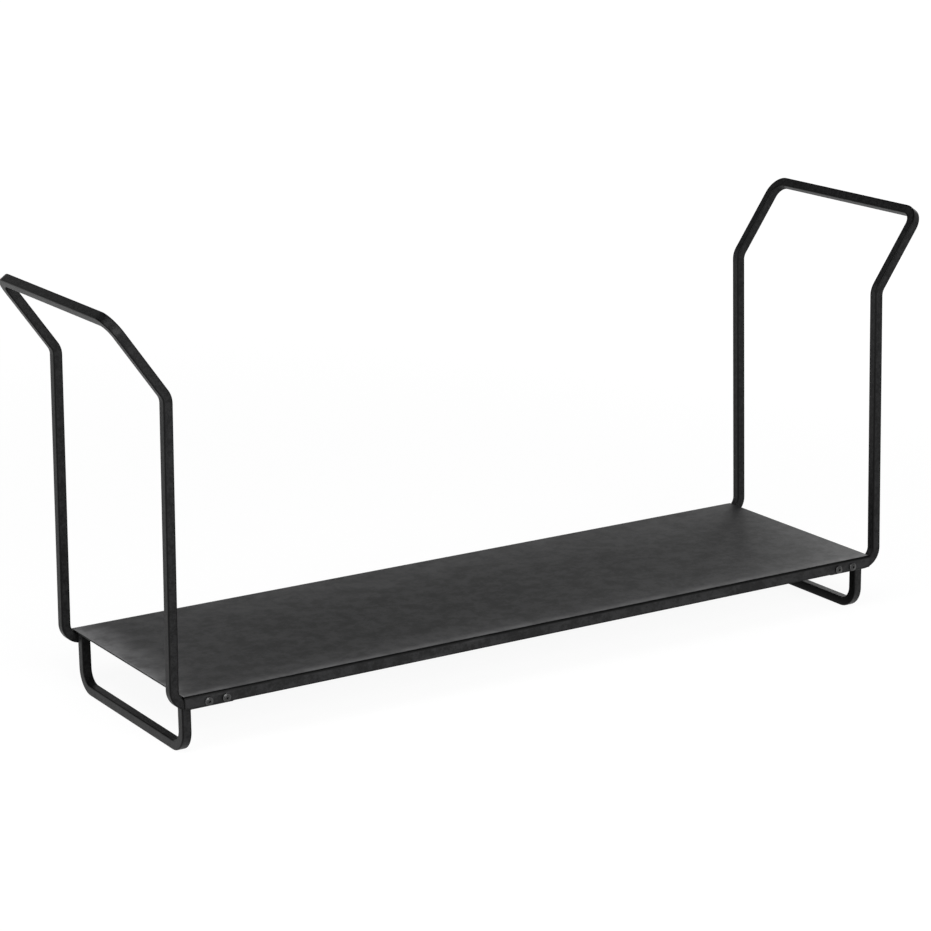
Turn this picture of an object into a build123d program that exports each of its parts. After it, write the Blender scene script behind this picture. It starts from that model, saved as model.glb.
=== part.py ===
"""Firewood log rack: a folded steel tray on two bar feet, with a bent bar hoop at each end.

Lengths are in millimetres and angles in degrees. X runs along the tray, Y from its front side to
its rear side and Z up from the floor. The origin is on the floor, under the middle of the tray.
"""

import os
from math import cos, radians, sin, sqrt, tan

from build123d import *

# Overall sizes
rack_height = 452.0  # floor to the highest point of the hoops
tray_length = 855.0
tray_width = 263.0  # over the two folded sides
tray_height = 65.0  # floor to the top of the tray

# Stock
bar_side = 10.0  # square bar of the hoops and the feet
bar_edge_chamfer = 0.7
sheet_thickness = 1.5

# Tray
fold_height = 13.0  # of the folded sides
fold_radius = 1.0  # inside of the folds
fold_corner_radius = 2.5  # lower corners of the folded sides

# Hoops, with bend radii at the inside of the bend
arm_length = 97.5  # from the kink to the top bar, along the lean
arm_lean = 35.0  # outward from the vertical
upright_lean = 1.0  # inward from the vertical
toe_bend_radius = 12.0
kink_bend_radius = 13.0
top_bend_radius = 12.0
end_gap = 5.0  # between the end of the tray and the uprights, at the height of the toes
bend_clearance = 0.3  # between the end of the tray and the bend under it
toe_margin = 9.0  # toe beyond its last bolt

# Feet
foot_inset = 2.4  # foot behind the end of the tray
foot_bend_radius = 15.0
weld_size = 3.0
weld_bulge = 0.4  # crown of the bead above a straight face

# Bolts and nuts, M4
bolt_diameter = 4.0
bolt_head_diameter = 8.6
bolt_head_height = 2.8
bolt_top_diameter = 5.0
bolt_rim_height = 1.2
bolt_projection = 1.3  # bolt beyond its nut
bolt_drop = 8.3  # from the top of the tray to the axes
bolt_pitch = 19.5
bolt_hole_clearance = 0.25  # all round the bolt in its holes
socket_across_flats = 2.5
socket_depth = 1.3
nut_across_flats = 7.0
nut_height = 3.2
thread_clearance = 0.05  # all round the bolt in its nut
spanner_gap = 6.5  # between the foot's weld and the first nut

# Heights
tray_underside = tray_height - sheet_thickness
fold_bottom = tray_height - fold_height
bolt_height = tray_height - bolt_drop
lean = radians(arm_lean)
edge_loss = bar_edge_chamfer * min(cos(lean), sin(lean))
tilted_half_height = bar_side / 2 * (cos(lean) + sin(lean)) - edge_loss
top_bar_height = rack_height - tilted_half_height
kink_height = top_bar_height - arm_length * cos(lean)

# The toe lies low enough to clear the fold, and for the bend to pass under the end of the tray.
bend_setback = (toe_bend_radius + bar_side / 2) / tan(radians(90 - upright_lean) / 2)
bend_run = bend_setback - bar_side / 2 - end_gap
bend_reach = sqrt((toe_bend_radius - bend_clearance) ** 2 - bend_run**2)
toe_gap = max(fold_radius, toe_bend_radius - bend_reach)
toe_height = tray_underside - toe_gap - bar_side / 2

# Places along X, from the middle of the tray
tray_end = tray_length / 2
upright_x = tray_end + end_gap + bar_side / 2
kink_x = upright_x - (kink_height - toe_height) * tan(radians(upright_lean))
top_bar_x = kink_x + arm_length * sin(lean)
foot_x = tray_end - foot_inset - bar_side / 2
weld_x = foot_x - bar_side / 2
nut_corner_radius = nut_across_flats / 2 / cos(radians(30))
outer_bolt_x = weld_x - weld_size - spanner_gap - nut_corner_radius
inner_bolt_x = outer_bolt_x - bolt_pitch
toe_tip_x = inner_bolt_x - toe_margin

# Places along Y, from the middle of the tray
tray_side_y = tray_width / 2
hoop_y = tray_side_y - sheet_thickness - bar_side / 2
toe_inner_y = hoop_y - bar_side / 2
foot_y = toe_inner_y - bar_side / 2

bolt_hole_radius = bolt_diameter / 2 + bolt_hole_clearance
bolt_length = sheet_thickness + bar_side + nut_height + bolt_projection

ENDS = {"left": -1, "right": 1}
SIDES = {"front": -1, "rear": 1}
ROWS = {"outer": outer_bolt_x, "inner": inner_bolt_x}


def keep(piece, name):
    """Label a finished piece and write it to its own file."""
    piece.part.label = name
    export_step(piece.part, f"parts/{name}.step")


def bolt_holes(ends):
    """The bolt holes of the given ends, seen from the front."""
    with BuildSketch(Plane.XZ) as holes:
        with Locations(*[(end * x, bolt_height) for end in ends for x in ROWS.values()]):
            Circle(bolt_hole_radius)
    return holes.sketch


def make_tray():
    """One sheet with both long sides folded down, and open ends."""
    with BuildPart() as tray:
        with BuildSketch(Plane.YZ):
            with BuildLine():
                outside = FilletPolyline(
                    (-tray_side_y, fold_bottom),
                    (-tray_side_y, tray_height),
                    (tray_side_y, tray_height),
                    (tray_side_y, fold_bottom),
                    radius=fold_radius + sheet_thickness,
                )
                offset(outside, amount=sheet_thickness, side=Side.RIGHT)
            make_face()
        extrude(amount=tray_end, both=True)
        fillet(tray.edges().filter_by(Axis.Y).group_by(Axis.Z)[0], fold_corner_radius)
        extrude(bolt_holes(ENDS.values()), amount=tray_width, both=True, mode=Mode.SUBTRACT)
    return tray


def bar_centreline(front_corners, radii):
    """The middle of a bar from its front end to halfway, bent to inside radii, and the same way back."""
    rear_corners = [(x, -y, z) for x, y, z in reversed(front_corners)]
    middle_radii = [radius + bar_side / 2 for radius in radii]
    with BuildLine() as path:
        FilletPolyline(*front_corners, *rear_corners, radius=middle_radii + middle_radii[::-1])
    return path.line


def bar_section(path, x_dir):
    """The square of the bar at the start of its centreline."""
    with BuildSketch(Plane(path @ 0, x_dir=x_dir, z_dir=path % 0)) as section:
        Rectangle(bar_side, bar_side)
        chamfer(section.vertices(), bar_edge_chamfer)
    return section.sketch


def make_hoop(end):
    """Toe, upright, leaning arm and top bar, and the same way back: one bar, bent in two planes."""
    front_corners = [
        (end * toe_tip_x, -hoop_y, toe_height),
        (end * upright_x, -hoop_y, toe_height),
        (end * kink_x, -hoop_y, kink_height),
        (end * top_bar_x, -hoop_y, top_bar_height),
    ]
    path = bar_centreline(front_corners, [toe_bend_radius, kink_bend_radius, top_bend_radius])
    with BuildPart() as hoop:
        sweep(bar_section(path, (0, 1, 0)), path=path)
        extrude(bolt_holes([end]), amount=tray_width, both=True, mode=Mode.SUBTRACT)
    return hoop


def make_foot(end):
    """A bar bent into a U, whose legs stand inside the toes and carry the tray."""
    front_corners = [
        (end * foot_x, -foot_y, tray_underside),
        (end * foot_x, -foot_y, bar_side / 2),
    ]
    path = bar_centreline(front_corners, [foot_bend_radius])
    with BuildPart() as foot:
        sweep(bar_section(path, (1, 0, 0)), path=path)
    return foot


def make_weld(end, side):
    """A bead down the corner between a foot's leg and the inner side of the toe."""
    root = (end * weld_x, side * toe_inner_y)
    toe_leg = (end * (weld_x - weld_size), side * toe_inner_y)
    foot_leg = (end * weld_x, side * (toe_inner_y - weld_size))
    crown_reach = weld_size / 2 + weld_bulge / sqrt(2)
    crown = (end * (weld_x - crown_reach), side * (toe_inner_y - crown_reach))
    with BuildPart() as weld:
        with BuildSketch(Plane.XY.offset(toe_height - bar_side / 2 + bar_edge_chamfer)):
            with BuildLine():
                Line(foot_leg, root)
                Line(root, toe_leg)
                ThreePointArc(toe_leg, crown, foot_leg)
            make_face()
        extrude(amount=bar_side - 2 * bar_edge_chamfer)
    return weld


def bolt_seat(end, side, x, y):
    """The plane across a bolt's axis at a distance from the middle of the tray, facing outwards."""
    return Plane((end * x, side * y, bolt_height), x_dir=(1, 0, 0), z_dir=(0, side, 0))


def make_bolt(seat):
    """A round head with sloping sides and a hexagon socket, on the seat, and a shank through it."""
    shank_radius = bolt_diameter / 2
    head_radius = bolt_head_diameter / 2
    with BuildPart() as bolt:
        with BuildSketch(Plane(seat.origin, x_dir=seat.x_dir, z_dir=-seat.y_dir)):
            with BuildLine():
                Polyline(
                    (0, bolt_head_height),
                    (0, -bolt_length),
                    (shank_radius, -bolt_length),
                    (shank_radius, 0),
                    (head_radius, 0),
                    (head_radius, bolt_rim_height),
                    (bolt_top_diameter / 2, bolt_head_height),
                    close=True,
                )
            make_face()
        revolve(axis=Axis(seat.origin, seat.z_dir))
        with BuildSketch(seat.offset(bolt_head_height)):
            RegularPolygon(socket_across_flats / 2, side_count=6, major_radius=False)
        extrude(amount=-socket_depth, mode=Mode.SUBTRACT)
    return bolt


def make_nut(seat):
    """A hexagon nut that lies against the seat, on its inner side."""
    with BuildPart() as nut:
        with BuildSketch(seat):
            RegularPolygon(nut_across_flats / 2, side_count=6, major_radius=False)
            Circle(bolt_diameter / 2 + thread_clearance, mode=Mode.SUBTRACT)
        extrude(amount=-nut_height)
    return nut


os.makedirs("parts", exist_ok=True)
keep(make_tray(), "tray")
for end_name, end in ENDS.items():
    keep(make_hoop(end), f"{end_name}_hoop")
    keep(make_foot(end), f"{end_name}_foot")
    for side_name, side in SIDES.items():
        corner = f"{end_name}_{side_name}"
        keep(make_weld(end, side), f"{corner}_weld")
        for row_name, x in ROWS.items():
            keep(make_bolt(bolt_seat(end, side, x, tray_side_y)), f"{corner}_{row_name}_bolt")
            keep(make_nut(bolt_seat(end, side, x, toe_inner_y)), f"{corner}_{row_name}_nut")
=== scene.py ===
"""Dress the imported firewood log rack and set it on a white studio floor.

The CAD frame gives the place of every piece. Each piece is worked out again here as a fine surface,
with the rounded edges, threads and weld ripples that the plain solids leave out, and gets a black
lacquer made from nodes. Lengths are in metres: X runs along the tray, Y to its rear and Z up.
"""

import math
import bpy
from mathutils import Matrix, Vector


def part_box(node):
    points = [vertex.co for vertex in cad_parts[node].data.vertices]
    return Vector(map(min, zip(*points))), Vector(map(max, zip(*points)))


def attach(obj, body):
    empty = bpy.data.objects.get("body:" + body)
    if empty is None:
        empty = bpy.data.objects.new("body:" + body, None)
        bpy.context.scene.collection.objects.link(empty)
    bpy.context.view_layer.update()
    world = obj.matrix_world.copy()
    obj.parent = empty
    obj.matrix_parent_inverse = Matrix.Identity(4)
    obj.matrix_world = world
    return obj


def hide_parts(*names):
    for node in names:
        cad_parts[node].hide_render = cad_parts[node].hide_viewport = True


bl_info = {
    "name": "Firewood Log Rack",
    "version": (1, 0, 0),
    "blender": (4, 5, 0),
    "location": "View3D > Sidebar > Log Rack",
    "description": "Build a black steel log rack around its CAD frame",
    "category": "Add Mesh",
}

import bpy
import numpy as np
from bpy.props import FloatProperty, FloatVectorProperty, PointerProperty
from mathutils import Matrix, Vector

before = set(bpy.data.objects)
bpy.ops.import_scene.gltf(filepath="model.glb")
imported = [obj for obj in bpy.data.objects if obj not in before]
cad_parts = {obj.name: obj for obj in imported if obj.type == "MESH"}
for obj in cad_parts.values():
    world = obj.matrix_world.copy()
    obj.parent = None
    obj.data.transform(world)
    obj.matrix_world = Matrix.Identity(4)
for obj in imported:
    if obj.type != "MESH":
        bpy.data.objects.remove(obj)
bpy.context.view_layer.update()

BODY = "root"
ENDS = {"left": -1, "right": 1}
SIDES = {"front": -1, "rear": 1}
ROWS = ("outer", "inner")
AXIS_X, AXIS_Y, AXIS_Z = np.eye(3)
QUARTER = math.pi / 2
ROUND = 2 * math.pi

TRAY_LOW, TRAY_HIGH = (np.array(corner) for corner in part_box("tray"))
HOOP_LOW, HOOP_HIGH = (np.array(corner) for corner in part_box("right_hoop"))
FOOT_LOW, FOOT_HIGH = (np.array(corner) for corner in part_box("right_foot"))

# Fineness of the meshes, as counts of points
BEND_STEPS = 24
CORNER_STEPS = 6
TRAY_LENGTH_STEPS = 48
TRAY_WIDTH_STEPS = 24
TRAY_END_STEPS = 9
FOLD_STEPS = 10
SIDE_STEPS = 5
LIP_STEPS = 7
ROUND_STEPS = 72
DOME_STEPS = 12
RIM_STEPS = 5
THREAD_STEPS = 8
CHAMFER_STEPS = 7
BEAD_STEPS = 61
BEAD_ARC_STEPS = 13
STATION_DIGITS = 7
SHARP_ANGLE = math.radians(32)

# Weld beads: the share of the length left off at each tip, the power that closes the ends, and how far
# the ripples swell the crown
BEAD_TIP = 0.002
BEAD_END_POWER = 5
BEAD_RIPPLE = 0.22

# The lacquers. clouds, streaks and waves count their cells to the metre, streaks along X, Y and Z. The
# entry after clouds is the most that a rubbed place loses. That rub stands for wear, and on the tray,
# the feet and the bolt domes also for painted light. wave_height is the height of the waves in the
# steel.
SHEET_LACQUER = {
    "gloss": 0.18,
    "clouds": 45.0,
    "wear_and_painted_light": 0.85,
    "streaks": (9.0, 110.0, 110.0),
    "waves": 9.0,
    "wave_height": 0.0016,
}
BAR_LACQUER = {
    "gloss": 0.12,
    "clouds": 220.0,
    "wear_and_painted_light": 0.15,
    "streaks": (320.0, 320.0, 40.0),
    "waves": 22.0,
    "wave_height": 0.0005,
}
BOLT_BLACK = {
    "gloss": 0.40,
    "clouds": 300.0,
    "wear_and_painted_light": 0.22,
    "streaks": (700.0, 700.0, 700.0),
    "waves": 22.0,
    "wave_height": 0.0005,
}

# What the lacquers share: cells to the metre, heights, and how far a pattern moves the tone and the
# roughness. CLOUD_RANGE is the part of the clouds' noise that runs from dark to light. A place that is
# worn and painted lighter loses at least PATCH_LEAST of the most it can.
# Painted shade: the near black laid wherever an edge weight is below 0
PAINTED_SHADE_BLACK = (0.0015, 0.0015, 0.0016, 1.0)
CLOUD_RANGE = (0.40, 0.60)
CLOUD_DULL = 0.018
GRAIN_CELLS = 1300.0
GRAIN_HEIGHT = 0.00004
GRAIN_TONE = 0.3
PEEL_CELLS = 320.0
PEEL_HEIGHT = 0.0002
PATCH_CELLS = 40.0
PATCH_LEAST = 0.45
SCUFF_TONE = 0.09
SCUFF_DULL = 0.06

# Edge weights, from 1, rubbed, to -1, painted black as shade. Above 0 a weight stands for wear, and on
# the feet's outer flats and the bolt domes also for painted light. Below 0 it is painted shade: on the
# bars' rounded edges, the feet's inner flats, the sockets, under the bolt heads and along the tray's
# lower edges. A bar has four flats, and those of a foot face away from the rack, out of its U, towards
# the rack and into its U. The first two are painted lighter as if lit, and the last two darker as if
# shaded. SOCKET_EDGE is for the floor and the mouth of a socket, and NUT_BORE_EDGE for the rings of a
# bore from the seat to the face.
BAR_EDGE = -0.8
HOOP_FLATS = (0.0, 0.0, 0.0, 0.0)
FOOT_FLATS = (0.9, 0.6, -0.9, -0.3)
BEAD_EDGE = 0.3
SOCKET_EDGE = (-1.0, -0.5)
DOME_EDGE = 0.1
UNDER_HEAD_EDGE = -1.0
THREAD_EDGE = 0.4
NUT_BORE_EDGE = (0.3, 0.0, 0.0, 1.0)
NUT_SIDE_EDGE = 1.0
NUT_SEAT_EDGE = 0.3
LOWER_EDGE = -0.7

# Where an edge weight fades, from none to all of it. First, shares of the bolt head's radius, over
# which the dome's rim grows worn and painted lighter as a highlight. Then distances from the tray's
# lower edges, over which their painted shade grows.
WORN_AND_LIT_DOME = (0.70, 0.96)
BLACK_LOWER_EDGE = (0.0016, 0.0006)

# Bands along the rims of the tray's top that lighten it, as wear and as a painted reflection of the
# lamps: the edge weight at the rim, and the band's width. The wide left bands fade along the left rim
# to the share after them, at the front.
REAR_WEAR_AND_SHEEN = ((0.25, 0.120),)
FRONT_WEAR_AND_SHEEN = ((0.20, 0.060), (0.60, 0.014))
LEFT_WEAR_AND_SHEEN = ((0.22, 0.240), (0.95, 0.048))
LEFT_WEAR_AND_SHEEN_FRONT = 0.45
LEFT_RIM_WEAR_AND_SHEEN = ((2.20, 0.0035),)
RIGHT_WEAR_AND_SHEEN = ((0.24, 0.050),)

# The studio. Each lamp has its name, place, target and size, and each stop of the walls the sine of its
# height above the horizon and its grey. The floor's glow grows with the distance from the rack, and in
# gloss a shadow is painted on it under the tray, fading it to dark.
LAMPS = (
    ("top", (-1.60, -1.20, 2.40), (0.0, 0.0, 0.10), (1.60, 1.60)),
    ("key", (-0.25, -2.10, 0.95), (0.0, 0.0, 0.20), (1.20, 1.20)),
    ("edge", (1.94, 1.26, 0.62), (0.40, 0.0, 0.07), (0.60, 0.85)),
)
WALL_STOPS = ((0.0, 1.0), (0.12, 0.88), (0.26, 0.64), (0.50, 0.08), (1.0, 0.04))
FLOOR_REACH = 20.0
FLOOR_PAINT = (0.80, 0.80, 0.80, 1.0)
FLOOR_SHADE = (0.15, 0.15, 0.15, 1.0)
FLOOR_GLOW = (0.92, 1.0)
FLOOR_GLOW_REACH = (0.6, 3.0)
# A shadow painted on the floor under the tray, seen only in gloss: how dark it is, and where it fades
# along X and Y
UNDER_TRAY_DARK = 0.95
UNDER_TRAY_X = (0.395, 0.425)
UNDER_TRAY_Y = (0.10, 0.20)
WHITE = (1.0, 1.0, 1.0, 1.0)
SENSOR_WIDTH = 36.0


def length(name, default, description):
    """A property for a length in metres."""
    return FloatProperty(
        name=name, description=description, default=default, unit="LENGTH", precision=5
    )


def angle(name, degrees, description):
    """A property for an angle."""
    return FloatProperty(
        name=name, description=description, default=math.radians(degrees), unit="ROTATION"
    )


def share(name, default, description):
    """A property for a share between nothing and all."""
    return FloatProperty(
        name=name, description=description, default=default, min=0, max=1, subtype="FACTOR"
    )


def power(name, default, description):
    """A property for a lamp's power in watts."""
    return FloatProperty(name=name, description=description, default=default, min=0, unit="POWER")


def colour(name, default, description):
    """A property for a colour, in linear light."""
    return FloatVectorProperty(
        name=name, description=description, default=default, min=0, max=1, size=3, subtype="COLOR"
    )


class RackSizes(bpy.types.PropertyGroup):
    """Sizes that the boxes of the CAD frame don't give."""

    sheet_thickness: length("Sheet thickness", 0.0015, "Thickness of the tray's sheet")
    sheet_edge_radius: length("Sheet edge radius", 0.0003, "Rounding of the sheet's cut edges")
    fold_radius: length("Fold radius", 0.0010, "Inside radius of the tray's folds")
    fold_corner_radius: length("Fold corner radius", 0.0025, "Lower corners of the folded sides")
    bar_edge_radius: length("Bar edge radius", 0.0010, "Rounding of the square bar's long edges")
    bar_end_bevel: length("Bar end bevel", 0.0004, "Bevel round the sawn ends of the bars")
    arm_length: length("Arm length", 0.0975, "From the kink to the top bar, along the lean")
    arm_lean: angle("Arm lean", 35, "Outward lean of the arms")
    upright_lean: angle("Upright lean", 1, "Inward lean of the uprights")
    toe_bend_radius: length("Toe bend radius", 0.012, "Inside radius of the bend into the toe")
    kink_bend_radius: length("Kink bend radius", 0.013, "Inside radius of the bend at the kink")
    top_bend_radius: length("Top bend radius", 0.012, "Inside radius of the bends of the top bar")
    end_gap: length("End gap", 0.005, "From the end of the tray to the uprights, at the toes")
    foot_bend_radius: length("Foot bend radius", 0.015, "Inside radius of the bends of the feet")
    bolt_diameter: length("Bolt diameter", 0.004, "Diameter of the bolts' shanks")
    bolt_rim_height: length("Bolt rim height", 0.0018, "Straight rim under the dome of the head")
    bolt_rim_fillet: length("Bolt rim fillet", 0.00045, "Rounding of the rim towards the sheet")
    bolt_tip_bevel: length("Bolt tip bevel", 0.0004, "Bevel at the tip of the shank")
    socket_width: length("Socket width", 0.0025, "Across the flats of the hexagon socket")
    socket_depth: length("Socket depth", 0.0013, "Depth of the hexagon socket")
    socket_bevel: length("Socket bevel", 0.0001, "Depth of the bevel round the socket's mouth")
    thread_pitch: length("Thread pitch", 0.0007, "Pitch of the bolts' threads")
    thread_depth: length("Thread depth", 0.0003, "Depth of the bolts' threads")
    thread_length: length("Thread length", 0.0060, "Threaded end of the bolts")
    nut_clearance: length("Nut clearance", 0.00005, "Room round the bolt in its nut")
    nut_face_width: length("Nut face width", 0.00665, "Diameter of the flat face of the nuts")
    nut_chamfer: length("Nut chamfer", 0.0005, "Height of the chamfered corners of the nuts")
    nut_bore_bevel: length("Nut bore bevel", 0.0003, "Bevel at both ends of the nuts' bores")
    bead_pitch: length("Bead pitch", 0.0012, "From ripple to ripple of the weld beads")
    bead_bulge: length("Bead bulge", 0.0004, "Crown of the weld beads")


class RackFinish(bpy.types.PropertyGroup):
    """Colours and gloss of the lacquered steel."""

    sheet_dark: colour("Sheet, dark", (0.0050, 0.0051, 0.0053), "Darker patches of the sheet")
    sheet_light: colour("Sheet, light", (0.0190, 0.0192, 0.0200), "Lighter patches of the sheet")
    bar_dark: colour("Bar, dark", (0.0046, 0.0046, 0.0048), "Darker patches of the bars")
    bar_light: colour("Bar, light", (0.0162, 0.0162, 0.0167), "Lighter patches of the bars")
    bolt_dark: colour("Bolt, dark", (0.0070, 0.0069, 0.0068), "Darker patches of the bolts")
    bolt_light: colour("Bolt, light", (0.0180, 0.0180, 0.0180), "Lighter patches of the bolts")
    # The worn colours also carry painted light: the bars' colour on the feet's outer flats, and the
    # bare steel as a painted reflection on the tray's rims and a painted highlight on the bolt domes
    bar_worn: colour("Bar, worn", (0.080, 0.080, 0.081), "Scuffed lacquer of the bars and the welds")
    bare_steel: colour("Bare steel", (0.200, 0.200, 0.204), "Rubbed rims of the tray and the bolts")
    sheet_roughness: share("Sheet roughness", 0.47, "Mean roughness of the tray")
    bar_roughness: share("Bar roughness", 0.42, "Mean roughness of the bars")
    bolt_roughness: share("Bolt roughness", 0.24, "Mean roughness of the bolts and nuts")


class RackStudio(bpy.types.PropertyGroup):
    """Camera and lamps."""

    camera_place: FloatVectorProperty(
        name="Camera place",
        description="Where the camera stands",
        default=(-1.64861, -2.62855, 1.04213),
        subtype="TRANSLATION",
        unit="LENGTH",
    )
    camera_yaw: angle("Camera yaw", 31.756, "Turn of the camera to the right of the tray's own front")
    camera_pitch: angle("Camera pitch", 15.0967, "Downward tilt of the camera")
    camera_roll: angle("Camera roll", -0.648, "Turn of the camera about its own axis")
    focal_length: FloatProperty(
        name="Focal length", description="Of the lens", default=116.279, unit="CAMERA"
    )
    top_power: power("Top lamp", 32.0, "Above, on the left")
    key_power: power("Key lamp", 29.0, "In front")
    edge_power: power("Edge lamp", 5.2, "Behind, on the right")


def unit(vector):
    """The vector at length one."""
    return vector / np.linalg.norm(vector)


def eased(value, low, high):
    """0 at low and below, 1 at high and above, and 3 t2 - 2 t3 between them."""
    t = np.clip((value - low) / (high - low), 0, 1)
    return t * t * (3 - 2 * t)


def turned(vector, axis, angles):
    """The vector turned about a unit axis by each of the angles, by Rodrigues' formula:
    v cos a + (axis x v) sin a + axis (axis . v)(1 - cos a)."""
    cos = np.cos(angles)[:, None]
    sin = np.sin(angles)[:, None]
    return vector * cos + np.cross(axis, vector) * sin + axis * (axis @ vector) * (1 - cos)


def grid_quads(rows, columns, closed):
    """Four corner numbers for each cell of a grid of points. Closed columns join the last one to the
    first."""
    row = np.arange(rows - 1)[:, None] * columns
    this = np.arange(columns if closed else columns - 1)[None, :]
    after = (this + 1) % columns
    quads = np.stack((row + this, row + after, row + columns + after, row + columns + this), axis=-1)
    return quads.reshape(-1, 4)


def fan(centre, ring, flip):
    """Triangles from a centre point to each edge of a ring of points."""
    after = np.roll(ring, -1)
    middle = np.full_like(ring, centre)
    first, second = (after, ring) if flip else (ring, after)
    return np.stack((middle, first, second), axis=-1)


def loft(rings):
    """A closed skin over a stack of rings, (stations, points, 3), with a fan of triangles over each
    end. Returns the points and the lists of faces."""
    stations, count, _ = rings.shape
    ends = np.stack((rings[0].mean(axis=0), rings[-1].mean(axis=0)))
    points = np.concatenate((rings.reshape(-1, 3), ends))
    first_ring = np.arange(count)
    last_ring = first_ring + (stations - 1) * count
    caps = np.concatenate(
        (fan(stations * count, first_ring, True), fan(stations * count + 1, last_ring, False))
    )
    return points, [grid_quads(stations, count, True), caps]


def ring_loft(rings):
    """A closed skin over rings whose last one is joined to the first, as on a nut."""
    stations, count, _ = rings.shape
    quads = grid_quads(stations + 1, count, True) % (stations * count)
    return rings.reshape(-1, 3), [quads]


def two_faced(outer, inner):
    """A closed sheet from two grids of points, (rows, columns, 3), joined all round their rim."""
    rows, columns, _ = outer.shape
    numbers = np.arange(rows * columns).reshape(rows, columns)
    rim = np.concatenate((numbers[0, :-1], numbers[:-1, -1], numbers[-1, :0:-1], numbers[:0:-1, 0]))
    after = np.roll(rim, -1)
    below = rows * columns
    face = grid_quads(rows, columns, False)
    walls = np.stack((rim, rim + below, after + below, after), axis=-1)
    points = np.concatenate((outer.reshape(-1, 3), inner.reshape(-1, 3)))
    return points, [face, face[:, ::-1] + below, walls]


def enclosed_volume(points, faces):
    """Six times the volume inside the faces: the sum of a . (b x c) over their triangles."""
    total = 0.0
    for block in faces:
        for second in range(1, block.shape[1] - 1):
            a, b, c = (points[block[:, i]] for i in (0, second, second + 1))
            total += np.einsum("ij,ij->", a, np.cross(b, c))
    return total


def new_piece(name, surface, edge, material, replaced):
    """Put a surface, its points and faces, into a mesh with its faces outwards, and hand the piece to
    the frame. edge holds the edge weight of each point."""
    points, faces = surface
    if enclosed_volume(points, faces) < 0:
        faces = [block[:, ::-1] for block in faces]
    mesh = bpy.data.meshes.new(name)
    mesh.from_pydata(points.tolist(), [], [face for block in faces for face in block.tolist()])
    if mesh.validate():
        raise RuntimeError(f"{name} has faces that Blender can't use")
    attribute = mesh.attributes.new("edge", "FLOAT", "POINT")
    attribute.data.foreach_set("value", np.asarray(edge, np.float32))
    mesh.shade_smooth()
    mesh.set_sharp_from_angle(angle=SHARP_ANGLE)
    mesh.materials.append(material)
    piece = bpy.data.objects.new(name, mesh)
    bpy.context.scene.collection.objects.link(piece)
    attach(piece, BODY)
    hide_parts(replaced)


def add_node(tree, kind, inputs=None, **settings):
    """Add a shader node. Each input is a plain value, or another node's output to join to it."""
    made = tree.nodes.new("ShaderNode" + kind)
    for name, value in settings.items():
        setattr(made, name, value)
    for name, value in (inputs or {}).items():
        if isinstance(value, bpy.types.NodeSocket):
            tree.links.new(value, made.inputs[name])
        else:
            made.inputs[name].default_value = value
    return made


def noise(tree, vector, cells, detail, roughness):
    """Cloudy noise between 0 and 1 at so many cells to the metre."""
    inputs = {"Vector": vector, "Scale": cells, "Detail": detail, "Roughness": roughness}
    return add_node(tree, "TexNoise", inputs).outputs[0]


def ramp(tree, value, low, high, start=0.0, end=1.0):
    """The value eased from start, at low and below, to end, at high and above."""
    inputs = {"Value": value, "From Min": low, "From Max": high, "To Min": start, "To Max": end}
    return add_node(tree, "MapRange", inputs, interpolation_type="SMOOTHSTEP").outputs[0]


def combined(tree, operation, *values):
    """One value, or two joined, by the operation."""
    return add_node(tree, "Math", dict(enumerate(values)), operation=operation).outputs[0]


def mixed(tree, factor, first, second):
    """A colour between two colours."""
    inputs = {"Factor": factor, "A": first, "B": second}
    made = add_node(tree, "Mix", data_type="RGBA")
    sockets = {socket.name: socket for socket in made.inputs if socket.enabled}
    for name, value in inputs.items():
        if isinstance(value, bpy.types.NodeSocket):
            tree.links.new(value, sockets[name])
        else:
            sockets[name].default_value = value
    return next(socket for socket in made.outputs if socket.enabled)


def bumped(tree, height, strength, distance, below=None):
    """A normal tilted by a height, on top of the normal below it."""
    inputs = {"Strength": strength, "Distance": distance, "Height": height}
    if below:
        inputs["Normal"] = below
    return add_node(tree, "Bump", inputs).outputs[0]


def opaque(rgb):
    """A colour property with the alpha that a socket wants."""
    return (*rgb, 1.0)


def empty_material(name):
    """A node material without nodes, and its tree."""
    material = bpy.data.materials.new(name)
    material.use_nodes = True
    material.node_tree.nodes.clear()
    return material, material.node_tree


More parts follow.
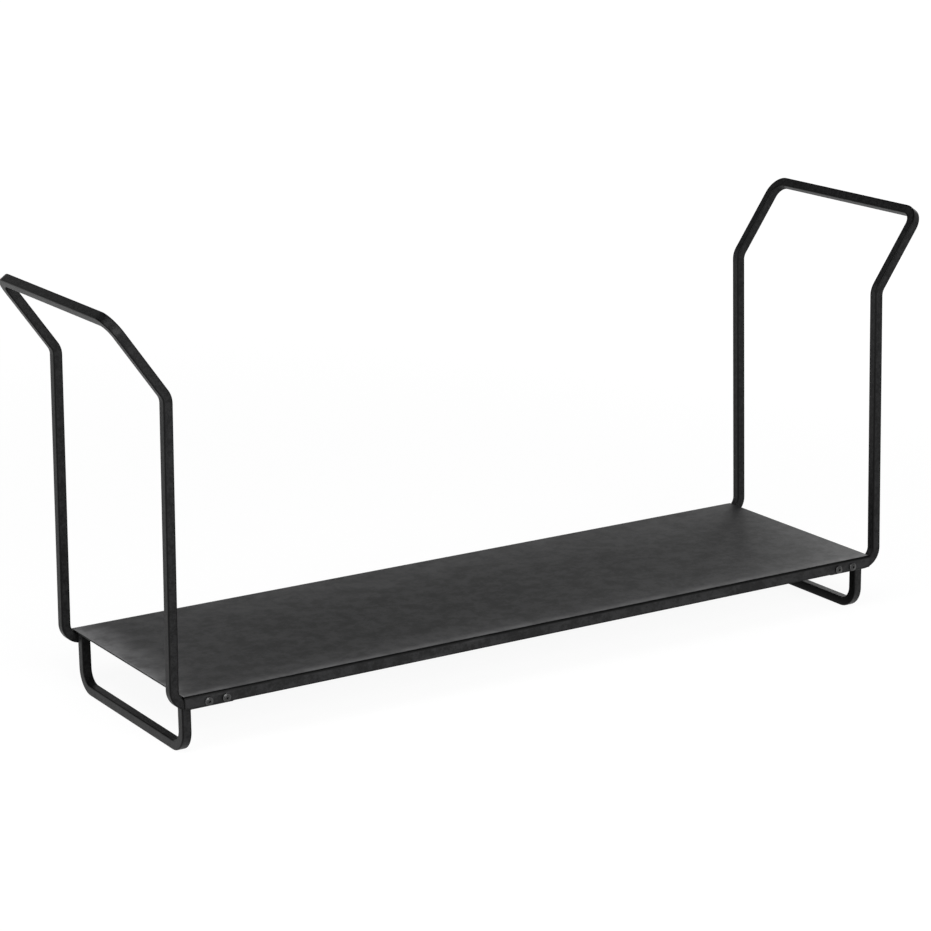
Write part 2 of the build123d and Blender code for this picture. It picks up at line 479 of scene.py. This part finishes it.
def lacquer(name, dark, light, worn_and_lit, roughness, pattern):
    """Satin black on steel. Its tone drifts with clouds and a fine grain, and thin scuffs follow the
    streaks. Where the edge attribute is above 0, it lightens the lacquer in patches towards the worn
    colour, as wear and on some pieces as painted light. Where it is below 0, it paints the lacquer
    black as shade. Waves in the steel, the lacquer's peel and its grain raise the surface."""
    material, tree = empty_material(name)
    place = add_node(tree, "TexCoord").outputs["Object"]
    along = add_node(tree, "Mapping", {"Vector": place, "Scale": pattern["streaks"]}).outputs[0]
    edge = add_node(tree, "Attribute", attribute_name="edge").outputs["Fac"]
    wear_and_painted_light = pattern["wear_and_painted_light"]

    clouds = noise(tree, place, pattern["clouds"], detail=6.0, roughness=0.85)
    grain = noise(tree, place, GRAIN_CELLS, detail=2.0, roughness=0.7)
    peel = noise(tree, place, PEEL_CELLS, detail=3.0, roughness=0.6)
    waves = noise(tree, place, pattern["waves"], detail=2.0, roughness=0.45)
    scuffs = ramp(tree, noise(tree, along, 1.0, detail=4.0, roughness=0.65), low=0.60, high=0.78)
    spots = noise(tree, place, PATCH_CELLS, detail=6.0, roughness=0.65)
    patches = ramp(tree, spots, low=0.32, high=0.68, start=PATCH_LEAST * wear_and_painted_light, end=wear_and_painted_light)

    cloudy = ramp(tree, clouds, *CLOUD_RANGE)
    grainy = ramp(tree, grain, low=0.25, high=0.75, start=-GRAIN_TONE, end=GRAIN_TONE)
    body = mixed(tree, combined(tree, "ADD", cloudy, grainy), opaque(dark), opaque(light))
    # Painted shade: black where the edge weight is below 0
    body = mixed(tree, ramp(tree, edge, low=-1.0, high=0.0, start=1.0, end=0.0), body, PAINTED_SHADE_BLACK)
    body = mixed(tree, combined(tree, "MULTIPLY", scuffs, SCUFF_TONE), body, opaque(worn_and_lit))
    # Worn and painted lighter where the edge weight is above 0
    worn_and_lit_share = combined(tree, "MULTIPLY", combined(tree, "MAXIMUM", edge, 0.0), patches)
    body = mixed(tree, worn_and_lit_share, body, opaque(worn_and_lit))

    dull = ramp(tree, clouds, *CLOUD_RANGE, start=roughness + CLOUD_DULL, end=roughness - CLOUD_DULL)
    dull = combined(tree, "ADD", dull, combined(tree, "MULTIPLY", scuffs, SCUFF_DULL))

    relief = bumped(tree, waves, strength=0.8, distance=pattern["wave_height"])
    relief = bumped(tree, peel, strength=0.20, distance=PEEL_HEIGHT, below=relief)
    relief = bumped(tree, grain, strength=0.25, distance=GRAIN_HEIGHT, below=relief)

    inputs = {"Base Color": body, "Roughness": dull, "Normal": relief}
    inputs["Specular IOR Level"] = pattern["gloss"]
    shader = add_node(tree, "BsdfPrincipled", inputs)
    add_node(tree, "OutputMaterial", {"Surface": shader.outputs[0]})
    return material


def sheet_lacquer():
    """The tray's lacquer, lightened towards the rims as wear and as a painted reflection, with streaks
    along the tray.
    """
    finish = bpy.context.scene.rack_finish
    tones = (finish.sheet_dark, finish.sheet_light, finish.bare_steel)
    return lacquer("sheet lacquer", *tones, finish.sheet_roughness, SHEET_LACQUER)


def bar_lacquer():
    """The lacquer of the hoops, feet and welds, with streaks up the uprights."""
    finish = bpy.context.scene.rack_finish
    tones = (finish.bar_dark, finish.bar_light, finish.bar_worn)
    return lacquer("bar lacquer", *tones, finish.bar_roughness, BAR_LACQUER)


def bolt_black():
    """The blackened steel of the bolts and nuts, lightened at their rims as wear, and on the bolt domes
    also as a painted highlight.
    """
    finish = bpy.context.scene.rack_finish
    tones = (finish.bolt_dark, finish.bolt_light, finish.bare_steel)
    return lacquer("bolt black", *tones, finish.bolt_roughness, BOLT_BLACK)


def shared(maker):
    """A material that several operators use, made once."""
    name = maker.__name__.replace("_", " ")
    return bpy.data.materials.get(name) or maker()


def hexagon(theta, across):
    """The radius of a hexagon, with a corner at angle 0, at each angle: half its width over the flats
    divided by the cosine of the angle from the middle of the nearest flat."""
    return across / 2 / np.cos(theta % (math.pi / 3) - math.pi / 6)


def mirrored(front_corners):
    """A path's corners from its front end to halfway, followed by the same way back at the rear."""
    front = np.array(front_corners)
    return np.concatenate((front, front[::-1] * (1, -1, 1)))


def rounded_square(bar, radius, flats):
    """The bar's section: a quarter circle at each corner, with a point a little way along the flat on
    either side of it, turned to the four corners. flats holds the edge weights of the four flats, and
    the circles have BAR_EDGE, which paints the rounded edges dark as shade."""
    flat = bar / 2 - radius
    quarter = np.linspace(0, QUARTER, CORNER_STEPS)
    x = np.concatenate(([bar / 2], flat + radius * np.cos(quarter), [flat - radius]))
    y = np.concatenate(([flat - radius], flat + radius * np.sin(quarter), [bar / 2]))
    corner = np.stack((x, y), axis=-1)
    turns = np.arange(4) * QUARTER
    cos = np.cos(turns)
    sin = np.sin(turns)
    spin = np.array(((cos, sin), (-sin, cos))).transpose(2, 0, 1)
    circles = np.full((4, CORNER_STEPS), BAR_EDGE)
    edge = np.concatenate((np.array(flats)[:, None], circles, np.roll(flats, -1)[:, None]), axis=1)
    return (corner @ spin).reshape(-1, 2), edge.ravel()


def bent_bar(corners, radii, side, bar, flats, sizes):
    """A square bar with rounded edges, carried along a path of straight runs and round bends.
    Each bend is a circle that touches both runs, at its radius times tan(turn / 2) from the corner, and
    turns the section about its own axis. flats starts at the flat that faces side, and goes round by
    way of the one that faces heading x side. Returns the surface and the edge weight of each point."""
    bevel = sizes.bar_end_bevel
    heading = unit(corners[1] - corners[0])
    places = [corners[0][None], corners[0][None] + heading * bevel]
    sides = [np.repeat(side[None], 2, axis=0)]
    headings = [np.repeat(heading[None], 2, axis=0)]
    for corner, after, radius in zip(corners[1:], corners[2:], radii):
        leaving = unit(after - corner)
        axis = unit(np.cross(heading, leaving))
        turn = math.acos(np.clip(heading @ leaving, -1, 1))
        start = corner - heading * radius * math.tan(turn / 2)
        hub = start + np.cross(axis, heading) * radius
        angles = np.linspace(0, turn, BEND_STEPS)
        places.append(hub + turned(start - hub, axis, angles))
        sides.append(turned(side, axis, angles))
        headings.append(turned(heading, axis, angles))
        heading = leaving
        side = sides[-1][-1]
    places += [corners[-1][None] - heading * bevel, corners[-1][None]]
    sides.append(np.repeat(side[None], 2, axis=0))
    headings.append(np.repeat(heading[None], 2, axis=0))

    places, sides, headings = (np.concatenate(block) for block in (places, sides, headings))
    rises = np.cross(headings, sides)
    section, edge = rounded_square(bar, sizes.bar_edge_radius, flats)
    scale = np.ones((len(places), 1, 1))
    scale[[0, -1]] = 1 - 2 * bevel / bar
    spread = sides[:, None] * section[:, :1] + rises[:, None] * section[:, 1:]
    rings = places[:, None] + scale * spread
    return loft(rings), np.append(np.tile(edge, len(places)), (0, 0))


def tray_stations(end, corner_radius, rim):
    """Places along the tray: even over its length, and close together where its ends are rounded."""
    turn = np.sin(np.linspace(0, QUARTER, TRAY_END_STEPS))
    rounding = end - corner_radius * (1 - turn)
    closing = end - rim * (1 - turn)
    middle = np.linspace(0, end - corner_radius, TRAY_LENGTH_STEPS)
    half = np.unique(np.round(np.concatenate((middle, rounding, closing)), STATION_DIGITS))
    return np.concatenate((-half[:0:-1], half))


def band_rub(from_rim, bands):
    """How far the top is lightened, as wear and as a painted reflection: each band's weight, eased from
    nothing at its width from the rim to all of it at the rim, added up."""
    return sum(amount * eased(-from_rim, -width, 0.0) for amount, width in bands)


class LOG_RACK_OT_tray(bpy.types.Operator):
    """Fold the tray's sheet down along both long sides"""

    bl_idname = "log_rack.tray"
    bl_label = "Tray"

    def execute(self, context):
        """The middle of the sheet is a function of x and of the way across it: up the front side, round
        the fold, over, round and down. Each face lies half a thickness off it, and at a distance d from
        the rim that half eases as a quarter circle of radius e: t/2 - e + sqrt(e2 - (e - d)2). The top
        is lightened towards its rims, as wear and as a painted reflection. The folds, the cut ends and
        the lower edges are painted black as shade."""
        sizes = context.scene.rack_sizes
        thickness = sizes.sheet_thickness
        rim = sizes.sheet_edge_radius
        corner = sizes.fold_corner_radius
        middle_radius = sizes.fold_radius + thickness / 2
        end, side, top = TRAY_HIGH
        flat_y = side - thickness / 2 - middle_radius
        fold_z = top - thickness / 2 - middle_radius
        x = tray_stations(end, corner, rim)[:, None]
        from_end = end - np.abs(x)
        bottom = TRAY_LOW[2] + corner - np.sqrt(corner**2 - np.clip(corner - from_end, 0, None) ** 2)

        level = flat_y * np.sin(np.linspace(0, QUARTER, TRAY_WIDTH_STEPS))[:-1]
        turn = np.linspace(0, QUARTER, FOLD_STEPS)
        down = rim + (fold_z - bottom - rim) * np.linspace(1, 0, SIDE_STEPS)[1:-1]
        lip = rim * (1 - np.sin(np.linspace(0, QUARTER, LIP_STEPS)))
        above_bottom = np.concatenate((down, np.broadcast_to(lip, (len(x), len(lip)))), axis=1)
        upright = np.full(above_bottom.shape[1], QUARTER)

        lean = np.concatenate((np.zeros_like(level), turn, upright))
        across = np.concatenate((level, np.full(len(turn) + len(upright), flat_y)))
        half_y = across + middle_radius * np.sin(lean)
        over = fold_z + middle_radius * np.cos(lean[: -len(upright)])
        over = np.broadcast_to(over, (len(x), len(over)))
        half_z = np.concatenate((over, bottom + above_bottom), axis=1)
        from_rim = np.concatenate((np.full_like(over, end), above_bottom), axis=1)
        from_rim = np.minimum(from_rim, from_end)
        short = rim - np.clip(from_rim, 0, rim)
        half_thickness = thickness / 2 - rim + np.sqrt(rim**2 - short**2)

        def whole(half, sign):
            """Both halves of the sheet from the rear one."""
            half = np.broadcast_to(half, half_z.shape)
            return np.concatenate((sign * half[:, :0:-1], half), axis=1)

        y = whole(half_y, -1)
        middle = np.stack((np.broadcast_to(x, y.shape), y, whole(half_z, 1)), axis=-1)
        normal = np.stack((np.zeros_like(y), whole(np.sin(lean), -1), whole(np.cos(lean), 1)), axis=-1)
        offset = normal * whole(half_thickness, 1)[..., None]
        # Painted shade on the cut ends, the folds and the lower edges; wear and a painted reflection on
        # the top's rims
        cut = eased(-from_end, -rim, -rim / 2)
        top_edge = self.rubbing(x, y, end, flat_y) * (1 - cut) - cut
        side_edge = -whole(self.blackening(lean, from_rim), 1)
        edge = np.where(whole(lean == 0, 1), top_edge, side_edge)
        surface = two_faced(middle + offset, middle - offset)
        material = shared(sheet_lacquer)
        new_piece("tray_sheet", surface, np.tile(edge.ravel(), 2), material, "tray")
        return {"FINISHED"}

    def rubbing(self, x, y, end, flat_y):
        """How far the top is lightened, as wear and as a painted reflection: the most that its four
        rims give. The left rim's wide bands fade to the front, and its narrow one doesn't."""
        fade = LEFT_WEAR_AND_SHEEN_FRONT + (1 - LEFT_WEAR_AND_SHEEN_FRONT) * eased(y, -flat_y, flat_y)
        left = band_rub(end + x, LEFT_WEAR_AND_SHEEN) * fade + band_rub(end + x, LEFT_RIM_WEAR_AND_SHEEN)
        right = band_rub(end - x, RIGHT_WEAR_AND_SHEEN)
        front = band_rub(flat_y + y, FRONT_WEAR_AND_SHEEN)
        rear = band_rub(flat_y - y, REAR_WEAR_AND_SHEEN)
        return np.maximum(np.maximum(left, right), np.maximum(front, rear))

    def blackening(self, lean, from_rim):
        """Painted shade on the sides: all of it on the folds, and most of it along the lower edges."""
        fold = (lean > 0) & (lean < QUARTER)
        none, full = BLACK_LOWER_EDGE
        lower_edge = -LOWER_EDGE * (lean > 0) * eased(-from_rim, -none, -full)
        return np.maximum(fold, lower_edge)


class LOG_RACK_OT_hoops(bpy.types.Operator):
    """Bend the two hoops from square bar"""

    bl_idname = "log_rack.hoops"
    bl_label = "Hoops"

    def execute(self, context):
        """Toe, upright, leaning arm and top bar, and the same way back, as one bar."""
        sizes = context.scene.rack_sizes
        bar = FOOT_HIGH[0] - FOOT_LOW[0]
        lean = sizes.arm_lean
        flat = bar / 2 - sizes.bar_edge_radius
        half_height = flat * (math.cos(lean) + math.sin(lean)) + sizes.bar_edge_radius
        toe_z = HOOP_LOW[2] + bar / 2
        top_z = HOOP_HIGH[2] - half_height
        kink_z = top_z - sizes.arm_length * math.cos(lean)
        upright_x = TRAY_HIGH[0] + sizes.end_gap + bar / 2
        kink_x = upright_x - (kink_z - toe_z) * math.tan(sizes.upright_lean)
        top_x = kink_x + sizes.arm_length * math.sin(lean)
        y = HOOP_LOW[1] + bar / 2
        inside = (sizes.toe_bend_radius, sizes.kink_bend_radius, sizes.top_bend_radius)
        radii = np.array(inside + inside[::-1]) + bar / 2
        for name, end in ENDS.items():
            toe = (end * HOOP_LOW[0], y, toe_z)
            heel = (end * upright_x, y, toe_z)
            kink = (end * kink_x, y, kink_z)
            top = (end * top_x, y, top_z)
            corners = mirrored((toe, heel, kink, top))
            surface, edge = bent_bar(corners, radii, AXIS_Y, bar, HOOP_FLATS, sizes)
            material = shared(bar_lacquer)
            new_piece(f"{name}_hoop_bar", surface, edge, material, f"{name}_hoop")
        return {"FINISHED"}


class LOG_RACK_OT_feet(bpy.types.Operator):
    """Bend the two feet from square bar"""

    bl_idname = "log_rack.feet"
    bl_label = "Feet"

    def execute(self, context):
        """A leg down from the tray, a run along the floor and a leg up again, as one bar."""
        sizes = context.scene.rack_sizes
        bar = FOOT_HIGH[0] - FOOT_LOW[0]
        x = FOOT_LOW[0] + bar / 2
        y = FOOT_LOW[1] + bar / 2
        radii = np.full(2, sizes.foot_bend_radius + bar / 2)
        # The outer flats are painted lighter as if lit, and the inner ones darker as if shaded
        away, out, towards, into = FOOT_FLATS
        flats = {"left": (towards, out, away, into), "right": FOOT_FLATS}
        for name, end in ENDS.items():
            corners = mirrored(((end * x, y, FOOT_HIGH[2]), (end * x, y, bar / 2)))
            surface, edge = bent_bar(corners, radii, AXIS_X, bar, flats[name], sizes)
            material = shared(bar_lacquer)
            new_piece(f"{name}_foot_bar", surface, edge, material, f"{name}_foot")
        return {"FINISHED"}


class LOG_RACK_OT_welds(bpy.types.Operator):
    """Lay a weld bead between each leg and its toe"""

    bl_idname = "log_rack.welds"
    bl_label = "Welds"

    def execute(self, context):
        """The bead's section is its corner, and a curve from one leg of the corner to the other that
        stands off their line by 4u(1 - u) of the bulge. Up the bead the bulge swells with a sine of the
        ripple pitch, and the whole section closes at both ends as (1 - |2v - 1|^5)^(1/2)."""
        sizes = context.scene.rack_sizes
        v = np.linspace(BEAD_TIP, 1 - BEAD_TIP, BEAD_STEPS)[:, None]
        u = np.linspace(0, 1, BEAD_ARC_STEPS)[None, :]
        close = np.sqrt(1 - np.abs(2 * v - 1) ** BEAD_END_POWER)
        for end_name, end in ENDS.items():
            for side_name, side in SIDES.items():
                node = f"{end_name}_{side_name}_weld"
                low, high = (np.array(corner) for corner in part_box(node))
                root = np.where((end > 0, side > 0), high[:2], low[:2])
                reach = high - low
                ripple = 1 + BEAD_RIPPLE * np.sin(ROUND * reach[2] * v / sizes.bead_pitch)
                crown = 4 * u * (1 - u) * sizes.bead_bulge * ripple
                inward_x = np.append((reach[0] * (1 - u) + crown) * close, 0 * v, axis=1)
                inward_y = np.append((reach[1] * u + crown) * close, 0 * v, axis=1)
                z = np.broadcast_to(low[2] + reach[2] * v, inward_x.shape)
                rings = np.stack((root[0] - end * inward_x, root[1] - side * inward_y, z), axis=-1)
                surface = loft(rings)
                edge = np.full(len(surface[0]), BEAD_EDGE)
                new_piece(f"{node}_bead", surface, edge, shared(bar_lacquer), node)
        return {"FINISHED"}


def round_rings(seat, outward, radii, heights):
    """Rings about the axis through a seat, each at its radius and height: seat + outward h
    + r (x cos a + z sin a). A radius may change round the ring."""
    theta = ring_angles()
    spoke = AXIS_X * np.cos(theta)[:, None] + AXIS_Z * np.sin(theta)[:, None]
    height = np.broadcast_to(np.asarray(heights)[:, None, None], (len(heights), ROUND_STEPS, 1))
    return seat + outward * height + spoke[None] * radii[..., None]


def ring_angles():
    """Even angles once round."""
    return np.linspace(0, ROUND, ROUND_STEPS, endpoint=False)


def fasteners(kind):
    """Each bolt or nut by its node's name, with its side's sign and the corners of its box."""
    for end_name in ENDS:
        for side_name, side in SIDES.items():
            for row in ROWS:
                node = f"{end_name}_{side_name}_{row}_{kind}"
                low, high = (np.array(corner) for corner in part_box(node))
                yield node, side, low, high


class LOG_RACK_OT_bolts(bpy.types.Operator):
    """Put in the round-headed bolts"""

    bl_idname = "log_rack.bolts"
    bl_label = "Bolts"

    def execute(self, context):
        """A ring of points goes from the floor of the socket up its hexagon wall, over the dome, whose
        height at radius r is h - R + sqrt(R2 - r2), down the rim, in under the head and along the
        shank. The threaded end's radius drops by a triangle wave of the height and the angle."""
        sizes = context.scene.rack_sizes
        for node, side, low, high in fasteners("bolt"):
            middle = (low + high) / 2
            seat = np.array((middle[0], side * TRAY_HIGH[1], middle[2]))
            head_radius = (high[0] - low[0]) / 2
            head_height = max(abs(low[1]), abs(high[1])) - TRAY_HIGH[1]
            tip = TRAY_HIGH[1] - min(abs(low[1]), abs(high[1]))
            head = self.head(sizes, head_radius, head_height)
            shank = self.shank(sizes, tip)
            radii, heights, edge = (np.concatenate(halves) for halves in zip(head, shank))
            surface = loft(round_rings(seat, side * AXIS_Y, radii, heights))
            edge = np.append(np.repeat(edge, ROUND_STEPS), (SOCKET_EDGE[0], 0))
            new_piece(f"{node}_domed", surface, edge, shared(bolt_black), node)
        return {"FINISHED"}

    def head(self, sizes, radius, height):
        """Radius round each ring, height and edge weight, from the socket to the head's underside."""
        dome_height = height - sizes.bolt_rim_height
        dome_radius = (radius**2 + dome_height**2) / (2 * dome_height)
        socket = hexagon(ring_angles(), sizes.socket_width)
        mouth = socket.max() + sizes.socket_bevel
        over = np.linspace(mouth, radius, DOME_STEPS)
        dome = height - dome_radius + np.sqrt(dome_radius**2 - over**2)
        under = np.linspace(0, QUARTER, RIM_STEPS)
        fillet = sizes.bolt_rim_fillet

        round_radii = np.concatenate((over, radius - fillet * (1 - np.cos(under))))
        radii = np.concatenate((np.stack((socket, socket)), np.tile(round_radii[:, None], ROUND_STEPS)))
        walls = (height - sizes.socket_depth, dome[0] - sizes.socket_bevel)
        heights = np.concatenate((walls, dome, fillet * (1 - np.sin(under))))
        # The dome lightens towards its rim, as wear and as a painted highlight; the socket and the
        # head's underside get painted shade
        none, full = WORN_AND_LIT_DOME
        worn_and_lit = DOME_EDGE + (1 - DOME_EDGE) * eased(over, none * radius, full * radius)
        edge = np.concatenate((SOCKET_EDGE, worn_and_lit, np.full(len(under), UNDER_HEAD_EDGE)))
        return radii, heights, edge

    def shank(self, sizes, tip):
        """Radius round each ring, height and edge weight, from the underside of the head to the tip."""
        radius = sizes.bolt_diameter / 2
        root = radius - sizes.thread_depth
        start = sizes.thread_length - tip
        step = sizes.thread_pitch / THREAD_STEPS
        run = np.arange(0, sizes.thread_length - sizes.bolt_tip_bevel, step)
        phase = (start - run[:, None]) / sizes.thread_pitch - ring_angles() / ROUND
        groove = np.abs(2 * (phase % 1) - 1) * np.clip(run / sizes.thread_pitch, 0, 1)[:, None]
        ending = np.array((root, root - sizes.bolt_tip_bevel))

        radii = np.concatenate(
            (
                np.full((1, ROUND_STEPS), radius),
                radius - sizes.thread_depth * groove,
                np.tile(ending[:, None], ROUND_STEPS),
            )
        )
        heights = np.concatenate(((0.0,), start - run, (sizes.bolt_tip_bevel - tip, -tip)))
        return radii, heights, np.append(0.0, np.full(len(run) + len(ending), THREAD_EDGE))


class LOG_RACK_OT_nuts(bpy.types.Operator):
    """Put on the hexagon nuts"""

    bl_idname = "log_rack.nuts"
    bl_label = "Nuts"

    def execute(self, context):
        """A ring of points goes through the bore, over the outer face and back along the sides. There
        the radius is the smaller of the hexagon's and of a cone that cuts off the corners at the
        face."""
        sizes = context.scene.rack_sizes
        bevel = sizes.nut_bore_bevel
        bore = sizes.bolt_diameter / 2 + sizes.nut_clearance
        bores = np.array((bore + bevel, bore, bore, bore + bevel))
        down = np.linspace(0, sizes.nut_chamfer, CHAMFER_STEPS)
        face_radius = sizes.nut_face_width / 2
        for node, side, low, high in fasteners("nut"):
            height = high[1] - low[1]
            across = high[2] - low[2]
            middle = (low + high) / 2
            seat = middle + side * AXIS_Y * height / 2
            corners = hexagon(ring_angles(), across)
            cone = face_radius + (corners.max() - face_radius) * down / sizes.nut_chamfer
            sides = np.minimum(cone[:, None], corners)
            radii = np.concatenate((np.tile(bores[:, None], ROUND_STEPS), sides, corners[None]))
            heights = np.concatenate(((0, -bevel, bevel - height, -height), down - height, (0,)))
            edge = np.concatenate((NUT_BORE_EDGE, np.full(len(down), NUT_SIDE_EDGE), (NUT_SEAT_EDGE,)))
            surface = ring_loft(round_rings(seat, side * AXIS_Y, radii, heights))
            edge = np.repeat(edge, ROUND_STEPS)
            new_piece(f"{node}_chamfered", surface, edge, shared(bolt_black), node)
        return {"FINISHED"}


def camera_turn(studio):
    """Yaw about the vertical, then the tilt down from the horizon, then the roll about the lens."""
    yaw = Matrix.Rotation(-studio.camera_yaw, 4, "Z")
    tilt = Matrix.Rotation(QUARTER - studio.camera_pitch, 4, "X")
    roll = Matrix.Rotation(studio.camera_roll, 4, "Z")
    return yaw @ tilt @ roll


def add_camera(studio):
    """The camera at the photograph's angle."""
    data = bpy.data.cameras.new("studio camera")
    data.lens = studio.focal_length
    data.sensor_width = SENSOR_WIDTH
    camera = bpy.data.objects.new("studio camera", data)
    camera.matrix_world = Matrix.Translation(studio.camera_place) @ camera_turn(studio)
    bpy.context.scene.collection.objects.link(camera)
    bpy.context.scene.camera = camera


def add_lamp(name, place, target, size, watts):
    """A soft rectangular lamp that faces a target."""
    data = bpy.data.lights.new(name, "AREA")
    data.shape = "RECTANGLE"
    data.size, data.size_y = size
    data.energy = watts
    lamp = bpy.data.objects.new(name, data)
    lamp.location = place
    lamp.visible_camera = False
    lamp.rotation_mode = "QUATERNION"
    lamp.rotation_quaternion = (Vector(target) - Vector(place)).to_track_quat("-Z", "Y")
    bpy.context.scene.collection.objects.link(lamp)


def add_floor():
    """A wide pale floor. The rack gets its light from a plain paint. To the camera, and in gloss and
    glass, the floor glows up to white and keeps the rack's shadow. In gloss a shadow is also painted on
    it, darkest under the tray."""
    corners = [(x * FLOOR_REACH, y * FLOOR_REACH, 0) for x, y in ((-1, -1), (1, -1), (1, 1), (-1, 1))]
    mesh = bpy.data.meshes.new("floor")
    mesh.from_pydata(corners, [], [(0, 1, 2, 3)])
    floor = bpy.data.objects.new("floor", mesh)
    bpy.context.scene.collection.objects.link(floor)

    material, tree = empty_material("pale floor")
    path = add_node(tree, "LightPath").outputs
    gloss = path["Is Glossy Ray"]
    place = add_node(tree, "TexCoord").outputs["Object"]
    flat = add_node(tree, "SeparateXYZ", {0: place}).outputs
    away = add_node(tree, "VectorMath", {0: place}, operation="LENGTH").outputs["Value"]

    # A shadow painted under the tray, seen only in gloss
    along = combined(tree, "ABSOLUTE", flat["X"])
    along = ramp(tree, along, *UNDER_TRAY_X, start=UNDER_TRAY_DARK, end=0.0)
    across = combined(tree, "ABSOLUTE", flat["Y"])
    across = ramp(tree, across, *UNDER_TRAY_Y, start=1.0, end=0.0)
    under = combined(tree, "MULTIPLY", combined(tree, "MULTIPLY", along, across), gloss)
    glow = ramp(tree, away, *FLOOR_GLOW_REACH, *FLOOR_GLOW)
    glow = combined(tree, "MULTIPLY", glow, combined(tree, "SUBTRACT", 1.0, under))

    paint = add_node(tree, "BsdfDiffuse", {"Color": FLOOR_PAINT}).outputs[0]
    shade = add_node(tree, "BsdfDiffuse", {"Color": FLOOR_SHADE}).outputs[0]
    light = add_node(tree, "Emission", {"Color": WHITE, "Strength": glow}).outputs[0]
    white = add_node(tree, "AddShader", {0: shade, 1: light}).outputs[0]
    seen = combined(tree, "MAXIMUM", path["Is Camera Ray"], gloss)
    seen = combined(tree, "MAXIMUM", seen, path["Is Transmission Ray"])
    both = add_node(tree, "MixShader", {0: seen, 1: paint, 2: white}).outputs[0]
    add_node(tree, "OutputMaterial", {"Surface": both})
    mesh.materials.append(material)


def add_world():
    """Walls that are bright at the floor and darken quickly to a black ceiling."""
    world = bpy.data.worlds.new("studio")
    world.use_nodes = True
    tree = world.node_tree
    tree.nodes.clear()
    direction = add_node(tree, "TexCoord").outputs["Generated"]
    rise = add_node(tree, "SeparateXYZ", {0: direction}).outputs["Z"]
    walls = add_node(tree, "ValToRGB", {"Fac": rise})
    stops = walls.color_ramp.elements
    while len(stops) < len(WALL_STOPS):
        stops.new(1.0)
    for stop, (height, grey) in zip(stops, WALL_STOPS):
        stop.position = height
        stop.color = (grey, grey, grey, 1.0)
    light = add_node(tree, "Background", {"Color": walls.outputs["Color"], "Strength": 1.0})
    add_node(tree, "OutputWorld", {"Surface": light.outputs[0]})
    bpy.context.scene.world = world


class LOG_RACK_OT_studio(bpy.types.Operator):
    """Set up the floor, the walls, the lamps and the camera"""

    bl_idname = "log_rack.studio"
    bl_label = "Studio"

    def execute(self, context):
        """The photograph's viewing angle under soft light from the front, from above and behind."""
        studio = context.scene.rack_studio
        context.scene.view_settings.view_transform = "Standard"
        add_floor()
        add_world()
        for name, place, target, size in LAMPS:
            add_lamp(f"{name} lamp", place, target, size, getattr(studio, f"{name}_power"))
        add_camera(studio)
        return {"FINISHED"}


class LOG_RACK_PT_sidebar(bpy.types.Panel):
    """The rack's pieces and settings in the 3D view's sidebar"""

    bl_idname = "LOG_RACK_PT_sidebar"
    bl_label = "Firewood Log Rack"
    bl_space_type = "VIEW_3D"
    bl_region_type = "UI"
    bl_category = "Log Rack"

    def draw(self, context):
        """List the operators, then the settings that they read."""
        for operator in OPERATORS:
            self.layout.operator(operator.bl_idname)
        for group in GROUPS:
            box = self.layout.box()
            settings = getattr(context.scene, group)
            for name in settings.__annotations__:
                box.prop(settings, name)


OPERATORS = (
    LOG_RACK_OT_tray,
    LOG_RACK_OT_hoops,
    LOG_RACK_OT_feet,
    LOG_RACK_OT_welds,
    LOG_RACK_OT_bolts,
    LOG_RACK_OT_nuts,
    LOG_RACK_OT_studio,
)
GROUPS = {"rack_sizes": RackSizes, "rack_finish": RackFinish, "rack_studio": RackStudio}
CLASSES = (*GROUPS.values(), *OPERATORS, LOG_RACK_PT_sidebar)


def register():
    """Register the classes, and hang the settings on the scene."""
    for made in CLASSES:
        bpy.utils.register_class(made)
    for name, group in GROUPS.items():
        setattr(bpy.types.Scene, name, PointerProperty(type=group))


def unregister():
    """Take the settings and the classes away again."""
    for name in GROUPS:
        delattr(bpy.types.Scene, name)
    for made in reversed(CLASSES):
        bpy.utils.unregister_class(made)


def main():
    """Build every piece and the studio."""
    register()
    for operator in OPERATORS:
        group, name = operator.bl_idname.split(".")
        getattr(getattr(bpy.ops, group), name)()
    bpy.context.view_layer.update()


if __name__ == "__main__":
    main()
